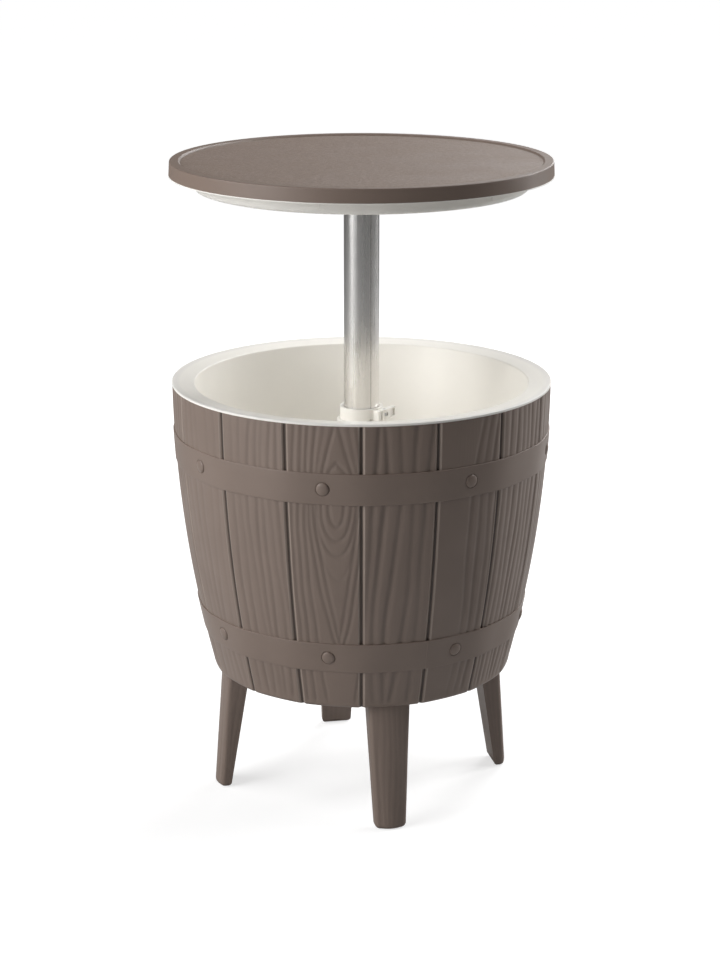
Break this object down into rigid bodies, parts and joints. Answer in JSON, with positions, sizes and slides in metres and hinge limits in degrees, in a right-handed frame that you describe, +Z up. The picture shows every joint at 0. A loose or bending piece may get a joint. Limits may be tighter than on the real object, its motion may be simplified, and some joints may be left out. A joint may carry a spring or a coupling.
{
  "type": "cooler table",
  "caption": "Barrel-shaped cooler on splayed legs with an ice liner and a round table top that rises on a keyed post and locks with a cam lever.",
  "frame": {"origin": "on the floor, on the axis of the post", "axes": "+Z up; +X to the right and +Y away as seen from the front, where a seam between two staves faces forward and the lever is on the right"},
  "size_m": [0.4982, 0.4982, 0.845],
  "materials": {
    "taupe_plastic": "moulded polypropylene with wood grain relief, low sheen",
    "cream_plastic": "smooth moulded polypropylene, soft sheen",
    "grey_plastic": "plain moulded polypropylene",
    "tube_aluminium": "drawn and polished",
    "screw_steel": "zinc plated",
    "black_rubber": "matt"
  },
  "bodies": {
    "tub": {"barrel_shell": "taupe_plastic", "ice_liner": "cream_plastic", "liner_column": "cream_plastic", "guide_sleeve": "cream_plastic", "sleeve_screws": "screw_steel", "lock_collar": "cream_plastic", "clamp_bolt": "screw_steel", "clamp_nut": "screw_steel", "lever_pin": "screw_steel", "leg_front": "taupe_plastic", "leg_right": "taupe_plastic", "leg_back": "taupe_plastic", "leg_left": "taupe_plastic", "leg_screws": "screw_steel", "drain_tube": "grey_plastic", "drain_seal": "black_rubber", "drain_nut": "grey_plastic"},
    "table": {"lid_top": "taupe_plastic", "lid_pan": "cream_plastic", "lid_screws": "screw_steel", "post_socket": "grey_plastic", "socket_screws": "screw_steel", "post_pin": "screw_steel", "post_tube": "tube_aluminium", "post_foot": "grey_plastic", "foot_pin": "screw_steel"},
    "lever": {"lock_lever": "cream_plastic"},
    "washer": {"cap_seal": "black_rubber"},
    "cap": {"drain_cap": "grey_plastic"}
  },
  "joints": [
    {"name": "table_lift", "type": "slide", "parent": "tub", "child": "table", "axis": [0, 0, 1], "range_m": [-0.2686, 0]},
    {"name": "lever_turn", "type": "hinge", "parent": "tub", "child": "lever", "pos_m": [0.02997, -0.01427, 0.51125], "axis": [0, 0, -1], "range_deg": [0, 90]},
    {"name": "cap_feed", "type": "slide", "parent": "tub", "child": "washer", "axis": [0, 0, 1], "range_m": [-0.012, 0]},
    {"name": "cap_turn", "type": "hinge", "parent": "washer", "child": "cap", "pos_m": [0.02185, 0.10985, 0.15], "axis": [0, 0, 1], "range_deg": [0, 1080]}
  ],
  "couplings": [
    {"joint": "cap_feed", "follows": "cap_turn", "m_per_rad": -0.00063662}
  ]
}
